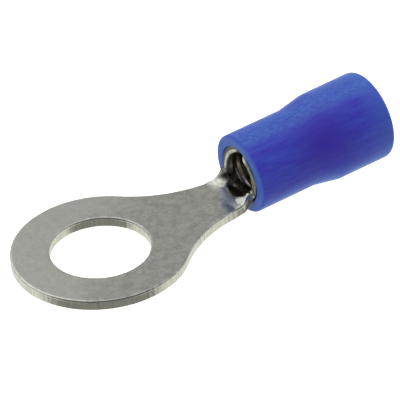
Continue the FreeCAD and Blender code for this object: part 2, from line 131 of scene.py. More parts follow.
def combine(tree, x, y, z):
    return addNode(tree, "ShaderNodeCombineXYZ", X=x, Y=y, Z=z).outputs[0]


def vectorCalc(tree, operation, *values):
    node = tree.nodes.new("ShaderNodeVectorMath")
    node.operation = operation
    sockets = [node.inputs[0], node.inputs["Scale"]] if operation == "SCALE" else node.inputs
    for socket, value in zip(sockets, values):
        feed(tree, socket, value)
    return node.outputs["Value" if operation in ("DOT_PRODUCT", "LENGTH") else "Vector"]


def noise(tree, place, scale, detail, roughness):
    return addNode(tree, "ShaderNodeTexNoise", Vector=place, Scale=scale, Detail=detail,
                   Roughness=roughness).outputs[0]


def remap(tree, value, fromLow, fromHigh, toLow, toHigh):
    node = tree.nodes.new("ShaderNodeMapRange")
    for name, number in zip(("Value", "From Min", "From Max", "To Min", "To Max"),
                            (value, fromLow, fromHigh, toLow, toHigh)):
        feed(tree, node.inputs[name], number)
    return node.outputs[0]


def mixColour(tree, factor, first, second):
    node = tree.nodes.new("ShaderNodeMix")
    node.data_type = "RGBA"
    for socket, value in zip((node.inputs[0], node.inputs[6], node.inputs[7]), (factor, first, second)):
        feed(tree, socket, (*value, 1) if isinstance(value, tuple) else value)
    return node.outputs[2]


def startTree(name, sizes):
    tree = bpy.data.node_groups.new(name, "GeometryNodeTree")
    tree.interface.new_socket("Geometry", in_out="INPUT", socket_type="NodeSocketGeometry")
    tree.interface.new_socket("Material", in_out="INPUT", socket_type="NodeSocketMaterial")
    for label in sizes:
        tree.interface.new_socket(label, in_out="INPUT", socket_type="NodeSocketFloat")
    tree.interface.new_socket("Geometry", in_out="OUTPUT", socket_type="NodeSocketGeometry")
    return tree, tree.nodes.new("NodeGroupInput").outputs


def endTree(tree, shape, material):
    real = addNode(tree, "GeometryNodeRealizeInstances", Geometry=shape).outputs[0]
    painted = addNode(tree, "GeometryNodeSetMaterial", Geometry=real, Material=material).outputs[0]
    tree.links.new(painted, tree.nodes.new("NodeGroupOutput").inputs[0])


def bakeTree(item, tree, material, sizes):
    modifier = item.modifiers.new("shape", "NODES")
    modifier.node_group = tree
    identifiers = {socket.name: socket.identifier for socket in tree.interface.items_tree
                   if socket.in_out == "INPUT"}
    modifier[identifiers["Material"]] = material
    for label, value in sizes.items():
        modifier[identifiers[label]] = float(value)
    bpy.context.view_layer.update()
    made = item.evaluated_get(bpy.context.evaluated_depsgraph_get())
    mesh = bpy.data.meshes.new_from_object(made)
    item.modifiers.remove(modifier)
    item.data = mesh
    mesh.shade_smooth()
    mesh.name = item.name


def newObject(name, points, edges, faces):
    mesh = bpy.data.meshes.new(name)
    mesh.from_pydata(points, edges, faces)
    item = bpy.data.objects.new(name, mesh)
    bpy.context.scene.collection.objects.link(item)
    return item


# Materials
tin = {
    "colour": (0.64, 0.645, 0.585),
    "patchColour": (0.535, 0.545, 0.49),
    "wornColour": (0.585, 0.585, 0.54),
    "wornPatch": (0.37, 0.375, 0.335),
    "cutColour": (0.74, 0.735, 0.65),        # sheared edges and the tears in them
    "tornColour": (0.53, 0.53, 0.45),
    "farWingShadeColour": (0.11, 0.105, 0.09),       # painted shade on the far wing's curled edge
    # painted shade inside the barrel, darker and browner
    "boreShadeColour": (0.55, 0.50, 0.41),
    "cornerShadeColour": (0.055, 0.048, 0.038),     # painted shade in the corner at the far wing's foot
    "cornerShadeAt": (10.5, 1.4, 0.95), "cornerShadeReach": (0.3, 0.7),
    "roughness": (0.16, 0.26), "roughnessReach": (0.3, 0.7),
    # Noises: how fine per millimetre, how detailed and how rough
    "blotch": (1.9, 5.0, 0.62), "blotchShare": 0.6,
    "mottle": (5.5, 4.0, 0.6), "mottleShare": 0.4,
    "patchReach": (0.38, 0.62),
    "grain": (16.0, 2.0, 0.6),
    "tears": (1.0, 4.0, 0.7), "tearReach": (0.35, 0.65),
    "tearStretch": (7.0, 7.0, 0.5),          # hardly any change through the sheet's thickness
    "wear": (0.35, 2.0, 0.5), "wearReach": (0.2, 0.8),
    "wearSlope": (0.13, -0.13, 0.0),         # the lug is more worn towards the front and the barrel
    "patchBump": (0.03, 0.4),                # depth and strength
    "grainBump": (0.006, 0.35),
}
pvc = {
    "colour": (0.027, 0.021, 0.26),
    "streakColour": (0.031, 0.052, 0.31),    # faint lengthwise streaks
    "streaks": (2.2, 4.0, 0.6), "streakStretch": (0.25, 1.6, 1.6), "streakReach": (0.3, 0.75),
    "deepColour": (0.027, 0.018, 0.22),      # no light comes through behind the barrel's end
    "deepAt": (15.7, -2.3, 3.3), "deepReach": (0.3, 2.9),
    "paintedLightColour": (0.041, 0.1, 0.32),      # painted light: paler towards the open end,
    "openReach": (18.6, 21.0), "openShare": 0.6,
    "underReach": (-0.15, -0.75), "underShare": 0.75,    # where the skin faces down,
    "endReach": (0.3, 0.9), "endShare": 0.7,             # on both end faces,
    "topReach": (0.89, 0.98),                            # and along the top, in flecks
    "flecks": (2.4, 4.0, 0.7), "fleckStretch": (1.3, 4.0, 4.0),
    "fleckReach": (0.36, 0.64), "fleckShare": (0.1, 1.0),
    "roughness": (0.36, 0.5), "cloud": (0.6, 3.0, 0.5), "cloudReach": (0.3, 0.7),
    "specular": 0.12,
    "sheen": 0.3, "sheenRoughness": 0.3,
    "sheenTint": (0.35, 0.8, 1.0),
    "streakBump": (0.02, 0.3),
}


def newMaterial(name):
    material = bpy.data.materials.new(name)
    material.use_nodes = True
    tree = material.node_tree
    return material, tree, tree.nodes["Principled BSDF"]


def objectPlace(tree, stretch=(1, 1, 1)):
    # Object coordinates in millimetres, stretched
    source = tree.nodes.new("ShaderNodeTexCoord").outputs["Object"]
    mapping = tree.nodes.new("ShaderNodeMapping")
    mapping.inputs["Scale"].default_value = [value / mm for value in stretch]
    tree.links.new(source, mapping.inputs["Vector"])
    return mapping.outputs[0]


def distanceFrom(tree, place, point):
    return vectorCalc(tree, "LENGTH", vectorCalc(tree, "SUBTRACT", place, point))


def attribute(tree, name, output):
    return addNode(tree, "ShaderNodeAttribute", {"attribute_name": name}).outputs[output]


def bump(tree, height, distance, strength, before=None):
    node = tree.nodes.new("ShaderNodeBump")
    node.inputs["Distance"].default_value = distance * mm
    node.inputs["Strength"].default_value = strength
    tree.links.new(height, node.inputs["Height"])
    if before:
        tree.links.new(before, node.inputs["Normal"])
    return node.outputs[0]


def tinMaterial():
    material, tree, shader = newMaterial("dullTin")
    place = objectPlace(tree)
    blotch = times(tree, noise(tree, place, *tin["blotch"]), tin["blotchShare"])
    mottle = times(tree, noise(tree, place, *tin["mottle"]), tin["mottleShare"])
    patch = plus(tree, blotch, mottle)
    spotted = remap(tree, patch, *tin["patchReach"], 0, 1)
    # The faces, fresh or worn, then painted shade inside the bore and in the far wing's corner
    slope = vectorCalc(tree, "DOT_PRODUCT", place, tin["wearSlope"])
    wear = plus(tree, slope, noise(tree, place, *tin["wear"]))
    fresh = mixColour(tree, spotted, tin["colour"], tin["patchColour"])
    worn = mixColour(tree, spotted, tin["wornColour"], tin["wornPatch"])
    face = mixColour(tree, remap(tree, wear, *tin["wearReach"], 0, 1), fresh, worn)
    # Painted shade inside the bore
    face = mixColour(tree, attribute(tree, "bore", "Fac"), face, tin["boreShadeColour"])
    # Painted shade: dark patch in the corner at the far wing's foot
    apart = distanceFrom(tree, place, tin["cornerShadeAt"])
    face = mixColour(tree, remap(tree, apart, *tin["cornerShadeReach"], 1, 0), face, tin["cornerShadeColour"])
    # The sheared edges, whose tears follow the flat blank
    blank = vectorCalc(tree, "MULTIPLY", attribute(tree, "blank", "Vector"), tin["tearStretch"])
    tears = remap(tree, noise(tree, blank, *tin["tears"]), *tin["tearReach"], 0, 1)
    sheared = mixColour(tree, tears, tin["cutColour"], tin["tornColour"])
    cutAndShade = attribute(tree, "cutAndShade", "Fac")
    # Painted shade: the far wing's curled sheared edge is darkened
    wing = calc(tree, "MAXIMUM", minus(tree, cutAndShade, 1.0), 0.0)
    sheared = mixColour(tree, wing, sheared, tin["farWingShadeColour"])
    colour = mixColour(tree, calc(tree, "MINIMUM", cutAndShade, 1.0), face, sheared)
    roughness = remap(tree, patch, *tin["roughnessReach"], *tin["roughness"])
    uneven = bump(tree, patch, *tin["patchBump"])
    uneven = bump(tree, noise(tree, place, *tin["grain"]), *tin["grainBump"], uneven)
    tree.links.new(colour, shader.inputs["Base Color"])
    tree.links.new(roughness, shader.inputs["Roughness"])
    shader.inputs["Metallic"].default_value = 1.0
    tree.links.new(uneven, shader.inputs["Normal"])
    return material


def pvcMaterial():
    material, tree, shader = newMaterial("bluePvc")
    place = objectPlace(tree)
    streak = noise(tree, objectPlace(tree, pvc["streakStretch"]), *pvc["streaks"])
    streaked = remap(tree, streak, *pvc["streakReach"], 0, 1)
    colour = mixColour(tree, streaked, pvc["colour"], pvc["streakColour"])
    deep = remap(tree, distanceFrom(tree, place, pvc["deepAt"]), *pvc["deepReach"], 1, 0)
    colour = mixColour(tree, deep, colour, pvc["deepColour"])
    along = addNode(tree, "ShaderNodeSeparateXYZ", Vector=place).outputs[0]
    # Painted light: paler towards the open end
    opening = remap(tree, along, *pvc["openReach"], 0, pvc["openShare"])
    colour = mixColour(tree, opening, colour, pvc["paintedLightColour"])
    # Which way the skin faces, against the sleeve's own axis and its own top
    facing = tree.nodes.new("ShaderNodeTexCoord").outputs["Normal"]
    upward = vectorCalc(tree, "DOT_PRODUCT", facing, (-math.sin(barrelRise), 0, math.cos(barrelRise)))
    endwise = calc(tree, "ABSOLUTE", vectorCalc(tree, "DOT_PRODUCT", facing, barrelAxis))
    # Painted light where the skin faces down and on both end faces
    under = remap(tree, upward, *pvc["underReach"], 0, pvc["underShare"])
    ends = remap(tree, endwise, *pvc["endReach"], 0, pvc["endShare"])
    colour = mixColour(tree, calc(tree, "MAXIMUM", under, ends), colour, pvc["paintedLightColour"])
    # Painted highlight along the top, broken into flecks
    flecks = noise(tree, objectPlace(tree, pvc["fleckStretch"]), *pvc["flecks"])
    flecks = remap(tree, flecks, *pvc["fleckReach"], *pvc["fleckShare"])
    topHighlight = times(tree, remap(tree, upward, *pvc["topReach"], 0, 1), flecks)
    colour = mixColour(tree, topHighlight, colour, pvc["paintedLightColour"])
    roughness = remap(tree, noise(tree, place, *pvc["cloud"]), *pvc["cloudReach"], *pvc["roughness"])
    tree.links.new(colour, shader.inputs["Base Color"])
    tree.links.new(roughness, shader.inputs["Roughness"])
    shader.inputs["Specular IOR Level"].default_value = pvc["specular"]
    shader.inputs["Sheen Weight"].default_value = pvc["sheen"]
    shader.inputs["Sheen Roughness"].default_value = pvc["sheenRoughness"]
    shader.inputs["Sheen Tint"].default_value = (*pvc["sheenTint"], 1)
    tree.links.new(bump(tree, streak, *pvc["streakBump"]), shader.inputs["Normal"])
    return material


tinFinish = tinMaterial()
pvcFinish = pvcMaterial()
print("materials made")


# Stamped terminal: a flat blank with sheared edges, which the node tree rolls up
terminal = {
    "ring": -terminalLow.x / mm,
    "hole": mounts["stud_hole"]["dims"]["r_mm"],
    "sheet": mounts["stud_hole"]["dims"]["length_mm"],
    "neck": 1.85,                            # half the neck's width
    "neckEnd": 9.5,                          # where the flat ends
    "waistEnd": 9.75,                        # and where the neck stops narrowing
    "mouth": 10.5,                           # where the barrel starts
    "root": 0.3,                             # inside corner between the neck and each wing
    "bore": mounts["wire_barrel"]["dims"]["r_mm"],
    "barrel": 5.0,
    "drop": 0.19,                            # underside of the barrel below that of the tongue
    "seam": 0.2,
    "corner": 0.4, "nose": 0.6,              # rounded corners at the rear and the front of the seam
    "wingShort": (0.0, 0.2),                 # how much the near and the far wing lack
    "rake": (0.0, 0.28),                     # how far their front edges fall back towards the seam
    "skew": 0.035,                           # this lug's fold starts a little earlier on the far side
    "offCentre": 0.2,                        # and its strip lies off the middle of the barrel
    # Its neck also rises a little before the barrel, more at its edges
    "lift": 0.03, "dish": 0.14,
    "liftStart": 8.9, "liftEnd": 10.0,
    # and is pinched up beside the wings' roots
    "crest": 0.17, "crestX": 10.08, "crestY": 1.35, "crestLong": 0.55, "crestWide": 0.75,
    # Its floor drops to the barrel in a U, later towards the sides
    "stepStart": 9.76, "stepBow": 0.27, "stepMiddle": -0.4, "stepLeast": 0.15,
    # Grooves pressed into the bore, from the mouth on
    "grooveStart": 0.5, "groovePitch": 1.05, "grooveWidth": 0.4, "grooveDepth": 0.12, "grooves": 3,
    "boreShadeBefore": 0.2, "boreShadeFade": 0.5,      # the painted shade inside the bore sets in this far before the mouth
    "wave": (0.8, 2.0, 0.5), "unevenness": 0.012,        # noise and height of its faint waves
    "edgeStep": 0.07, "faceStep": 0.13,      # mesh spacing along the edges and over the faces
    "edgeGap": 0.6,                          # share of a face step that stays free beside the edges
}
edge = {
    "roll": 0.08,                            # rounded top edge that the punch draws in
    "wingRoll": 0.36,                        # and the same edge where it is curled
    "rollRows": 6,
    "wingStart": 9.9, "wingEnd": 10.4,
    "land": 0.06,                            # smooth sheared land under it
    "score": 0.025,                          # fine score between the land and the torn part
    "torn": 0.018,                           # how far the torn part stands back
    "tornRows": (0.8, 0.6, 0.4, 0.2),
    "burr": 0.03, "burrMiddle": 0.3,         # rounded bottom edge and the share at its middle row
    # Vertical tears, where the noise passes a level
    "tears": (1.0, 3.0, 0.5), "tearStretch": (5.0, 5.0, 0.7),
    "tearLevel": 0.35, "tearDepth": 0.048,
}
barrelOuter = terminal["bore"] + terminal["sheet"]
barrelMiddle = terminal["bore"] + terminal["sheet"] / 2


def arcPoints(centre, radius, start, end):
    count = max(2, math.ceil(abs(end - start) * radius / terminal["edgeStep"]))
    angles = [start + (end - start) * number / count for number in range(count)]
    return [Vector(centre) + radius * Vector((math.cos(angle), math.sin(angle))) for angle in angles]


def linePoints(start, end):
    start, end = Vector(start), Vector(end)
    count = max(1, math.ceil((end - start).length / terminal["edgeStep"]))
    return [start.lerp(end, number / count) for number in range(count)]


def halfOutline(short, rake):
    # From the ring's tip to the wire entry along the -Y side
    ring, neck, root = terminal["ring"], terminal["neck"], terminal["root"]
    corner, nose, mouth = terminal["corner"], terminal["nose"], terminal["mouth"]
    narrow = terminal["waistEnd"]
    waist = (narrow**2 + neck**2 - ring**2) / (2 * (ring - neck))
    meet = math.atan2(neck + waist, narrow)
    wing = barrelMiddle * (math.pi - terminal["seam"] / (2 * barrelOuter)) - short
    front, rear = mouth + rake, mouth + terminal["barrel"]
    half = arcPoints((0, 0), ring, math.pi, 2 * math.pi - meet)
    half += arcPoints((narrow, -neck - waist), waist, math.pi - meet, math.pi / 2)
    half += linePoints((narrow, -neck), (mouth - root, -neck))
    half += arcPoints((mouth - root, -neck - root), root, math.pi / 2, 0)
    half += linePoints((mouth, -neck - root), (front, nose - wing))
    half += arcPoints((front + nose, nose - wing), nose, math.pi, 1.5 * math.pi)
    half += linePoints((front + nose, -wing), (rear - corner, -wing))
    half += arcPoints((rear - corner, corner - wing), corner, 1.5 * math.pi, 2 * math.pi)
    return half + linePoints((rear, corner - wing), (rear, 0)) + [Vector((rear, 0))]


def blankOutline():
    near, far = (halfOutline(*wing) for wing in zip(terminal["wingShort"], terminal["rake"]))
    return near + [Vector((point.x, -point.y)) for point in reversed(far[1:-1])]


def holeOutline():
    return arcPoints((0, 0), terminal["hole"], 2 * math.pi, 0)


def outwardOf(loop):
    directions = []
    for before, after in zip([loop[-1]] + loop[:-1], loop[1:] + [loop[0]]):
        along = (after - before).normalized()
        directions.append(Vector((along.y, -along.x)))
    return directions


def curledShare(along):
    return min(1, max(0, (along - edge["wingStart"]) / (edge["wingEnd"] - edge["wingStart"])))


def edgeProfile(along):
    # How far each row of the sheared edge stands back from the outline and lies below the top
    share = curledShare(along)
    roll = edge["roll"] + share * (edge["wingRoll"] - edge["roll"])
    score, torn, burr, sheet = edge["score"], edge["torn"], edge["burr"], terminal["sheet"]
    step = 90 / (edge["rollRows"] - 1)
    angles = [math.radians(step * number) for number in range(edge["rollRows"])]
    rows = [(roll * (1 - math.sin(angle)), roll * (1 - math.cos(angle))) for angle in angles]
    bottom = roll + edge["land"]
    rows += [(0, bottom), (score, bottom + score), (torn, bottom + 2 * score)]
    rows += [(torn * part, sheet - (sheet - bottom - 2 * score) * part) for part in edge["tornRows"]]
    middle = edge["burrMiddle"] * burr
    return rows + [(0, sheet - burr), (middle, sheet - middle), (burr, sheet)]


def cutAndShadeValue(point, row):
    # 0 over the faces and the rolled edge, 1 where sheared, up to 2 where painted shade darkens the far
    # wing's curled edge
    if row < edge["rollRows"]:
        return 0.0
    return 1.0 + (curledShare(point.x) if point.y > 0 else 0.0)


def boreShadeValue(point):
    # How far the painted shade inside the bore has set in
    share = (point.x - terminal["mouth"] + terminal["boreShadeBefore"]) / terminal["boreShadeFade"]
    return min(1.0, max(0.0, share))


def fieldPoints(loops, outwards):
    # Even triangle grid between the edges
    border = [pair for loop, normals in zip(loops, outwards) for pair in zip(loop, normals)]
    tree = kdtree.KDTree(len(border))
    for number, (point, _) in enumerate(border):
        tree.insert(point.to_3d(), number)
    tree.balance()
    step, ring = terminal["faceStep"], terminal["ring"]
    gap = terminal["edgeGap"] * step
    rowRatio = math.sqrt(0.75)               # an even triangle's height over its side
    columns = math.ceil((terminal["mouth"] + terminal["barrel"] + ring) / step)
    rows = math.ceil(ring / (step * rowRatio))
    field = []
    for row in range(-rows, rows + 1):
        for column in range(columns + 1):
            point = Vector((-ring + (column + 0.5 * (row % 2)) * step, row * step * rowRatio))
            nearest, outward = border[tree.find(point.to_3d())[1]]
            if (point - nearest).dot(outward) < -gap - edgeProfile(point.x)[0][0]:
                field.append(point)
    return field


def planTriangles(plan, border):
    # Triangles between the outline and the stud hole
    firsts = [0, len(border[0])]
    ties = []
    for first, loop in zip(firsts, border):
        ties += [(first + number, first + (number + 1) % len(loop)) for number in range(len(loop))]
    placed, _, triangles, sources, _, _ = geometry.delaunay_2d_cdt(plan, ties, [], 1, 1e-7)
    assert len(placed) == len(plan)
    holeRing = range(firsts[1], firsts[1] + len(border[1]))
    kept = []
    for triangle in triangles:
        a, b, c = (sources[corner][0] for corner in triangle)
        if not (a in holeRing and b in holeRing and c in holeRing):
            kept.append((a, b, c) if (plan[b] - plan[a]).cross(plan[c] - plan[a]) > 0 else (a, c, b))
    return kept


def wallFaces(rows):
    faces = []
    for upper, lower in zip(rows, rows[1:]):
        for number in range(len(upper)):
            after = (number + 1) % len(upper)
            faces.append((upper[number], lower[number], lower[after], upper[after]))
    return faces


def flatBlank():
    loops = [blankOutline(), holeOutline()]
    outwards = [outwardOf(loop) for loop in loops]
    profiles = [[edgeProfile(point.x) for point in loop] for loop in loops]
    field = fieldPoints(loops, outwards)
    upperLoops, lowerLoops = [], []
    for loop, normals, profile in zip(loops, outwards, profiles):
        insets = [rows[0][0] for rows in profile]
        upperLoops.append([point - normal * inset for point, normal, inset
                           in zip(loop, normals, insets)])
        lowerLoops.append([point - normal * edge["burr"] for point, normal in zip(loop, normals)])
    plan = upperLoops[0] + upperLoops[1] + field
    triangles = planTriangles(plan, upperLoops)
    under = len(plan)
    sheet = terminal["sheet"]
    points = [(point.x, point.y, sheet) for point in plan]
    points += [(point.x, point.y, 0.0) for point in lowerLoops[0] + lowerLoops[1] + field]
    faces = triangles + [(under + c, under + b, under + a) for a, b, c in triangles]
    cutAndShade = [0.0] * len(points)
    outward = [0.0] * 3 * len(points)
    # The sheared edges, row by row
    first = 0
    for loop, normals, profile in zip(loops, outwards, profiles):
        rows = [range(first, first + len(loop))]
        for row in range(1, len(profile[0]) - 1):
            rows.append(range(len(points), len(points) + len(loop)))
            for point, normal, depths in zip(loop, normals, profile):
                points.append((*(point - normal * depths[row][0]), sheet - depths[row][1]))
                cutAndShade.append(cutAndShadeValue(point, row))
                outward += [normal.x, normal.y, 0.0]
        rows.append(range(under + first, under + first + len(loop)))
        faces += wallFaces(rows)
        first += len(loop)
    # Painted shade inside the barrel, on the top face that rolls into the bore
    bore = [boreShadeValue(point) for point in plan] + [0.0] * (len(points) - len(plan))
    item = newObject("tinTerminal", points, [], faces)
    attributes = item.data.attributes
    attributes.new("cutAndShade", "FLOAT", "POINT").data.foreach_set("value", cutAndShade)
    attributes.new("bore", "FLOAT", "POINT").data.foreach_set("value", bore)
    attributes.new("outward", "FLOAT_VECTOR", "POINT").data.foreach_set("vector", outward)
    blank = [number for point in points for number in point]
    attributes.new("blank", "FLOAT_VECTOR", "POINT").data.foreach_set("vector", blank)
    return item


def shareOf(tree, value, start, end):
    # How far the value has come from start to end, kept between 0 and 1
    share = calc(tree, "DIVIDE", minus(tree, value, start), minus(tree, end, start))
    return calc(tree, "MINIMUM", calc(tree, "MAXIMUM", share, 0.0), 1.0)


def easeOf(tree, share):
    # An even S between 0 and 1
    return times(tree, times(tree, share, share), minus(tree, 3.0, times(tree, share, 2.0)))


def tornPlace(tree, given):
    # Vertical tears, pressed into the sheared edges
    place = tree.nodes.new("GeometryNodeInputPosition").outputs[0]
    outward = addNode(tree, "GeometryNodeInputNamedAttribute", {"data_type": "FLOAT_VECTOR"},
                      Name="outward").outputs[0]
    tears = noise(tree, vectorCalc(tree, "MULTIPLY", place, edge["tearStretch"]), *edge["tears"])
    depth = times(tree, minus(tree, edge["tearLevel"], tears), given["Tear depth"])
    depth = calc(tree, "MINIMUM", depth, 0.0)
    return vectorCalc(tree, "ADD", place, vectorCalc(tree, "SCALE", outward, depth))


def pressedDepth(tree, given, beyond):
    # Grooves across the top, which becomes the bore
    phase = minus(tree, beyond, given["Groove start"])
    number = calc(tree, "FLOOR", calc(tree, "DIVIDE", phase, given["Groove pitch"]))
    isGroove = times(tree, calc(tree, "GREATER_THAN", number, -0.5),
                     calc(tree, "LESS_THAN", number, minus(tree, given["Grooves"], 0.5)))
    within = minus(tree, phase, times(tree, number, given["Groove pitch"]))
    half = calc(tree, "DIVIDE", given["Groove width"], 2.0)
    slope = calc(tree, "DIVIDE", calc(tree, "ABSOLUTE", minus(tree, within, half)), half)
    press = calc(tree, "MAXIMUM", minus(tree, 1.0, slope), 0.0)
    return times(tree, times(tree, press, isGroove), given["Groove depth"])


def curled(tree, given, along, across, high):
    # A flat floor narrows to nothing at the mouth, and the sides bend up from it on the barrel's radius
    foldStart = minus(tree, given["Neck end"], times(tree, across, given["Skew"]))
    fold = shareOf(tree, along, foldStart, given["Mouth"])
    shifted = plus(tree, across, times(tree, fold, given["Off centre"]))
    away = calc(tree, "ABSOLUTE", shifted)
    # Before the fold the floor is wider than anything
    stillFlat = calc(tree, "LESS_THAN", fold, 0.0001)
    floorHalf = times(tree, given["Neck"], minus(tree, 1.0, fold))
    floorHalf = plus(tree, floorHalf, times(tree, stillFlat, 100.0))
    past = calc(tree, "MAXIMUM", minus(tree, away, floorHalf), 0.0)
    angle = calc(tree, "DIVIDE", past, given["Curl radius"])
    cosine = calc(tree, "COSINE", angle)
    radius = plus(tree, given["Curl radius"], calc(tree, "DIVIDE", given["Sheet"], 2.0))
    reach = times(tree, minus(tree, radius, high), calc(tree, "SINE", angle))
    reach = plus(tree, calc(tree, "MINIMUM", away, floorHalf), reach)
    sideways = times(tree, reach, calc(tree, "SIGN", shifted))
    up = plus(tree, times(tree, high, cosine), times(tree, radius, minus(tree, 1.0, cosine)))
    return away, sideways, up


def neckLift(tree, given, along, across, away, share):
    # The neck's slight rise, dished across, and the crests beside the wings' roots
    aside = calc(tree, "DIVIDE", calc(tree, "ABSOLUTE", across), given["Neck"])
    aside = calc(tree, "MINIMUM", aside, 1.0)
    dished = times(tree, times(tree, aside, aside), given["Dish"])
    dished = times(tree, dished, minus(tree, 1.0, share))
    ease = easeOf(tree, shareOf(tree, along, given["Lift start"], given["Lift end"]))
    lifted = times(tree, ease, plus(tree, given["Lift"], dished))
    crestX = calc(tree, "DIVIDE", minus(tree, along, given["Crest X"]), given["Crest length"])
    crestY = calc(tree, "DIVIDE", minus(tree, away, given["Crest Y"]), given["Crest width"])
    far = plus(tree, times(tree, crestX, crestX), times(tree, crestY, crestY))
    crest = easeOf(tree, calc(tree, "MAXIMUM", minus(tree, 1.0, far), 0.0))
    return plus(tree, lifted, times(tree, crest, given["Crest"]))


def floorStep(tree, given, along, across):
    # How far the floor has come down to the barrel's
    aside = minus(tree, across, given["Step middle"])
    bow = times(tree, times(tree, aside, aside), given["Step bow"])
    latest = minus(tree, given["Mouth"], given["Step least"])
    start = calc(tree, "MINIMUM", plus(tree, given["Step start"], bow), latest)
    return easeOf(tree, shareOf(tree, along, start, given["Mouth"]))


def formingTree(sizes):
    tree, given = startTree("rollTerminal", sizes)
    place = tornPlace(tree, given)
    along, across, high = addNode(tree, "ShaderNodeSeparateXYZ", Vector=place).outputs
    beyond = calc(tree, "MAXIMUM", minus(tree, along, given["Mouth"]), 0.0)
    # The grooves fade out towards the underside, and the strip is faintly uneven
    sheetShare = calc(tree, "DIVIDE", high, given["Sheet"])
    high = minus(tree, high, times(tree, pressedDepth(tree, given, beyond), sheetShare))
    wave = noise(tree, place, *terminal["wave"])
    high = plus(tree, high, times(tree, minus(tree, wave, 0.5), given["Unevenness"]))
    away, sideways, up = curled(tree, given, along, across, high)
    # The foot of each cross-section: level over the tongue, then along the barrel's rise
    share = shareOf(tree, along, given["Neck end"], given["Mouth"])
    run = times(tree, share, minus(tree, given["Foot distance"], given["Neck end"]))
    footX = plus(tree, calc(tree, "MINIMUM", along, given["Neck end"]), run)
    footX = plus(tree, footX, times(tree, beyond, calc(tree, "COSINE", given["Rise"])))
    fall = minus(tree, given["Foot height"], given["Lift"])
    fall = times(tree, floorStep(tree, given, along, across), fall)
    footZ = plus(tree, neckLift(tree, given, along, across, away, share), fall)
    footZ = plus(tree, footZ, times(tree, beyond, calc(tree, "SINE", given["Rise"])))
    tilt = times(tree, share, given["Rise"])
    x = minus(tree, footX, times(tree, up, calc(tree, "SINE", tilt)))
    z = plus(tree, footZ, times(tree, up, calc(tree, "COSINE", tilt)))
    rolled = vectorCalc(tree, "SCALE", combine(tree, x, sideways, z), given["Metre"])
    shape = addNode(tree, "GeometryNodeSetPosition", Geometry=given["Geometry"], Position=rolled)
    endTree(tree, shape.outputs[0], given["Material"])
    return tree


def addTerminal():
    item = flatBlank()
    sizes = {
        "Sheet": terminal["sheet"],
        "Neck": terminal["neck"],
        "Neck end": terminal["neckEnd"],
        "Mouth": terminal["mouth"],
        "Foot distance": terminal["mouth"] + barrelOuter * math.sin(barrelRise),
        "Foot height": barrelOuter - terminal["drop"] - barrelOuter * math.cos(barrelRise),
        "Curl radius": barrelMiddle,
        "Skew": terminal["skew"],
        "Off centre": terminal["offCentre"],
        "Lift": terminal["lift"],
        "Lift start": terminal["liftStart"],
        "Lift end": terminal["liftEnd"],
        "Dish": terminal["dish"],
        "Crest": terminal["crest"],
        "Crest X": terminal["crestX"],
        "Crest Y": terminal["crestY"],
        "Crest length": terminal["crestLong"],
        "Crest width": terminal["crestWide"],
        "Step start": terminal["stepStart"],
        "Step bow": terminal["stepBow"],
        "Step middle": terminal["stepMiddle"],
        "Step least": terminal["stepLeast"],
        "Rise": barrelRise,
        "Groove start": terminal["grooveStart"],
        "Groove pitch": terminal["groovePitch"],
        "Groove width": terminal["grooveWidth"],
        "Groove depth": terminal["grooveDepth"],
        "Grooves": terminal["grooves"],
        "Tear depth": edge["tearDepth"],
        "Unevenness": terminal["unevenness"],
        "Metre": mm,
    }
    bakeTree(item, formingTree(sizes), tinFinish, sizes)
    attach(item, "root")
    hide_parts("terminal")
    print("terminal:", len(item.data.polygons), "faces")


addTerminal()


# Insulating sleeve: a profile spun round the barrel's axis
sleeve = {
    "setBack": 0.07,                         # behind the barrel's mouth
    "length": 10.22,
    "wall": 0.75,
    "clearance": 0.02,
    "wireBore": mounts["insulation_entry"]["dims"]["r_mm"],
    "stepStart": 4.45, "stepLength": 1.83, "stepBlend": 1.5,
    "flare": 0.02,
    "leadIn": 1.3,                           # cone behind the barrel, with its roundings
    "seatRound": 0.05, "leadRound": 0.2,
    "frontRim": 0.22, "rearRim": 0.32,       # rounded outside edges
    "frontRound": 0.1, "rearRound": 0.15,    # and the inside ones
    "rows": 0.22,                            # spacing of the rows along the straight runs
    "arcStep": 14,                           # and round the corners, in degrees
    "around": 240,
    "wave": (0.9, 2.0, 0.5), "waveStretch": (0.35, 1.0, 1.0), "unevenness": 0.012,
}
sleeveBore = barrelOuter + sleeve["clearance"]


def runRows(start, end):
    count = max(1, round((end - start).length / sleeve["rows"]))
    return [start.lerp(end, number / count) for number in range(1, count)]


def roundedLoop(corners):
    # Closed outline from (point, radius) corners, with arcs at the corners and even rows along the runs
    loop = []
    for number, (corner, radius) in enumerate(corners):
        corner = Vector(corner)
        before = Vector(corners[number - 1][0]) - corner
        after = Vector(corners[(number + 1) % len(corners)][0]) - corner
        turn = math.pi - before.angle(after)
        start = corner + before.normalized() * (radius * math.tan(turn / 2))
        middle = (before.normalized() + after.normalized()).normalized()
        if loop:
            loop += runRows(loop[-1], start)
        centre = corner + middle * radius / math.cos(turn / 2)
        first = math.atan2(start.y - centre.y, start.x - centre.x)
        sweep = turn if before.cross(after) < 0 else -turn
        steps = max(3, math.ceil(turn / math.radians(sleeve["arcStep"])))
        angles = [first + sweep * part / steps for part in range(steps + 1)]
        loop += [centre + radius * Vector((math.cos(angle), math.sin(angle))) for angle in angles]
    return loop + runRows(loop[-1], loop[0])


def sleeveProfile():
    narrow, wide = sleeveBore + sleeve["wall"], sleeve["wireBore"] + sleeve["wall"]
    seat = terminal["barrel"] - sleeve["setBack"]
    length, stepStart = sleeve["length"], sleeve["stepStart"]
    return roundedLoop([
        ((0, sleeveBore), sleeve["frontRound"]),
        ((0, narrow), sleeve["frontRim"]),
        ((stepStart, narrow), sleeve["stepBlend"]),
        ((stepStart + sleeve["stepLength"], wide), sleeve["stepBlend"]),
        ((length, wide + sleeve["flare"]), sleeve["rearRim"]),
        ((length, sleeve["wireBore"]), sleeve["rearRound"]),
        ((seat + sleeve["leadIn"], sleeve["wireBore"]), sleeve["leadRound"]),
        ((seat, sleeveBore), sleeve["seatRound"]),
    ])


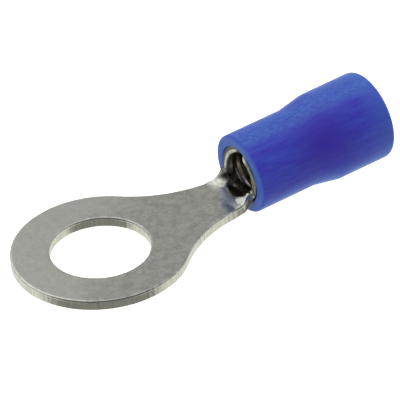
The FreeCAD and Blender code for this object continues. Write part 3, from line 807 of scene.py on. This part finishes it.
def spinningTree(sizes):
    tree, given = startTree("spinSleeve", sizes)
    steps = addNode(tree, "FunctionNodeFloatToInt", Float=given["Around"]).outputs[0]
    ring = addNode(tree, "GeometryNodeCurvePrimitiveCircle", Resolution=steps,
                   Radius=given["Mean radius"]).outputs[0]
    outline = addNode(tree, "GeometryNodeMeshToCurve", Mesh=given["Geometry"]).outputs[0]
    spun = tree.nodes.new("GeometryNodeCurveToMesh")
    tree.links.new(ring, spun.inputs["Curve"])
    tree.links.new(outline, spun.inputs["Profile Curve"])
    # The circle lies about Z: turn it so that the sleeve points along X, then tilt it with the barrel
    turned = addNode(tree, "GeometryNodeTransform", Geometry=spun.outputs[0],
                     Rotation=(0, -math.pi / 2, 0)).outputs[0]
    place = tree.nodes.new("GeometryNodeInputPosition").outputs[0]
    wave = noise(tree, vectorCalc(tree, "MULTIPLY", place, sleeve["waveStretch"]), *sleeve["wave"])
    facing = tree.nodes.new("GeometryNodeInputNormal").outputs[0]
    inward = vectorCalc(tree, "MULTIPLY", facing, (0, -1, -1))
    push = vectorCalc(tree, "SCALE", inward, times(tree, wave, given["Unevenness"]))
    uneven = addNode(tree, "GeometryNodeSetPosition", Geometry=turned, Offset=push).outputs[0]
    placed = addNode(tree, "GeometryNodeTransform", Geometry=uneven,
                     Translation=combine(tree, given["Front X"], 0.0, given["Front Z"]),
                     Rotation=combine(tree, 0.0, times(tree, given["Rise"], -1.0), 0.0)).outputs[0]
    scaled = addNode(tree, "GeometryNodeTransform", Geometry=placed,
                     Scale=combine(tree, given["Metre"], given["Metre"], given["Metre"])).outputs[0]
    endTree(tree, scaled, given["Material"])
    return tree


def addSleeve():
    mean = sleeveBore + sleeve["wall"] / 2
    points = [(point.y - mean, point.x, 0) for point in sleeveProfile()]
    edges = [(number, (number + 1) % len(points)) for number in range(len(points))]
    item = newObject("pvcSleeve", points, edges, [])
    sizes = {
        "Mean radius": mean,
        "Around": sleeve["around"],
        "Front X": terminal["mouth"] + sleeve["setBack"] * math.cos(barrelRise),
        "Front Z": barrelOuter - terminal["drop"] + sleeve["setBack"] * math.sin(barrelRise),
        "Rise": barrelRise,
        "Unevenness": sleeve["unevenness"],
        "Metre": mm,
    }
    bakeTree(item, spinningTree(sizes), pvcFinish, sizes)
    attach(item, "root")
    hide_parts("insulating_sleeve")
    print("sleeve:", len(item.data.polygons), "faces")


addSleeve()


# Pale floor and soft studio
studio = {
    "floorSize": 800.0,
    "floorColour": (0.35, 0.35, 0.35), "floorRoughness": 0.9,
    "floorGlow": 1.1,
    "gap": 0.01,
    # Bright table, which the camera's own side darkens
    "table": (0.95, 0.3), "tableEdge": (0.17, 0.47), "tableBlue": 0.96,
    # Grey back wall and soft bright ceiling, which the camera's own side darkens too
    "ceiling": (0.5, 1.0), "ceilingEdge": (0.62, 0.95),
    "dark": 0.2, "darkEdge": (0.3, 0.65), "darkLevel": 0.94, "darkHeight": 0.34,
    "horizon": (-0.12, 0.02),
    # Soft box behind on the left
    "window": (-0.15, 0.7, 0.7), "windowEdge": (0.88, 0.94), "windowGlow": 0.75,
    # Place, diameter and power of each lamp
    "lamps": {
        "overhead": ((20, 20, 450), 400, 1.8),
        "right": ((450, 50, 100), 200, 1.0),
        "left": ((-350, -150, 120), 200, 0.8),
    },
    "lampsAim": (8, 0, 0),
}


def addFloor():
    # The ring's tip and the sleeve's rim both touch it
    tip = terminalLow.x
    corners = [vertex.co for vertex in frame["nodes"]["insulating_sleeve"].data.vertices]
    slope = min(corner.z / (corner.x - tip) for corner in corners)
    half = studio["floorSize"] / 2 * mm
    points = []
    for x, y in ((-half, -half), (half, -half), (half, half), (-half, half)):
        points.append((x, y, slope * (x - tip) - studio["gap"] * mm))
    floor = newObject("floor", points, [], [(0, 1, 2, 3)])
    material, _, shader = newMaterial("paleFloor")
    shader.inputs["Base Color"].default_value = (*studio["floorColour"], 1)
    shader.inputs["Roughness"].default_value = studio["floorRoughness"]
    shader.inputs["Specular IOR Level"].default_value = 0.0
    shader.inputs["Emission Color"].default_value = (1, 1, 1, 1)
    shader.inputs["Emission Strength"].default_value = studio["floorGlow"]
    floor.data.materials.append(material)
    floor.visible_glossy = False
    print("floor slope", round(math.degrees(math.atan(slope)), 2))


def addWorld():
    world = bpy.data.worlds.new("softStudio")
    bpy.context.scene.world = world
    world.use_nodes = True
    tree = world.node_tree
    direction = tree.nodes.new("ShaderNodeTexCoord").outputs["Generated"]
    azimuth = math.radians(view["azimuth"])
    side = (math.sin(azimuth), -math.cos(azimuth), 0)
    height = addNode(tree, "ShaderNodeSeparateXYZ", Vector=direction).outputs[2]
    level = vectorCalc(tree, "NORMALIZE", vectorCalc(tree, "MULTIPLY", direction, (1, 1, 0)))
    table = vectorCalc(tree, "DOT_PRODUCT", level, side)
    table = remap(tree, table, *studio["tableEdge"], *studio["table"])
    ceiling = remap(tree, height, *studio["ceilingEdge"], *studio["ceiling"])
    darkest = (studio["darkLevel"] * side[0], studio["darkLevel"] * side[1], studio["darkHeight"])
    towards = vectorCalc(tree, "DOT_PRODUCT", direction, darkest)
    ceiling = times(tree, ceiling, remap(tree, towards, *studio["darkEdge"], 1.0, studio["dark"]))
    window = vectorCalc(tree, "DOT_PRODUCT", direction, studio["window"])
    window = remap(tree, window, *studio["windowEdge"], 0.0, studio["windowGlow"])
    ceiling = plus(tree, ceiling, window)
    above = remap(tree, height, *studio["horizon"], 0.0, 1.0)
    glow = mixColour(tree, above, combine(tree, table, table, times(tree, table, studio["tableBlue"])),
                     combine(tree, ceiling, ceiling, ceiling))
    tree.links.new(glow, tree.nodes["Background"].inputs["Color"])


def addLamp(name, place, size, power):
    data = bpy.data.lights.new(name, "AREA")
    data.shape = "DISK"
    data.size = size * mm
    data.energy = power
    item = bpy.data.objects.new(name, data)
    bpy.context.scene.collection.objects.link(item)
    item.location = Vector(place) * mm
    item.rotation_mode = "QUATERNION"
    item.rotation_quaternion = (Vector(place) - Vector(studio["lampsAim"])).to_track_quat("Z", "Y")
    item.visible_glossy = False


addFloor()
addWorld()
for lamp, setting in studio["lamps"].items():
    addLamp(lamp, *setting)
bpy.context.scene.view_settings.view_transform = "Standard"
print("studio lit")
